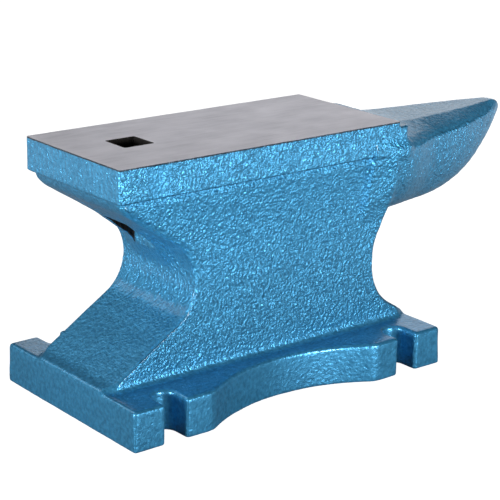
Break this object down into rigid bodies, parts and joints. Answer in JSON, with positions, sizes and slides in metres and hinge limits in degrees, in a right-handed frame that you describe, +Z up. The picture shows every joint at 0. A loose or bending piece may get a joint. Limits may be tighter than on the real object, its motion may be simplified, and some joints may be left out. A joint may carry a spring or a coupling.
{
  "type": "anvil",
  "caption": "Bench anvil with a ground flat face, a square hardy hole, a flat-topped horn, an overhanging heel and a scooped foot with open bolt notches.",
  "frame": {"origin": "middle of the underside of the foot, on the surface that the anvil stands on", "axes": "+X towards the horn, +Y to the left when looking along +X, +Z up"},
  "size_m": [0.3698, 0.1424, 0.166],
  "materials": {
    "ground_face": "surface ground, bare",
    "hammertone_paint": "glossy metallic blue paint over rough cast iron"
  },
  "bodies": {
    "root": {"face_plate": "ground_face", "table": "hammertone_paint", "heel": "hammertone_paint", "waist": "hammertone_paint", "horn": "hammertone_paint", "base": "hammertone_paint", "foot_heel_left": "hammertone_paint", "foot_heel_right": "hammertone_paint", "foot_horn_left": "hammertone_paint", "foot_horn_right": "hammertone_paint"}
  },
  "joints": []
}
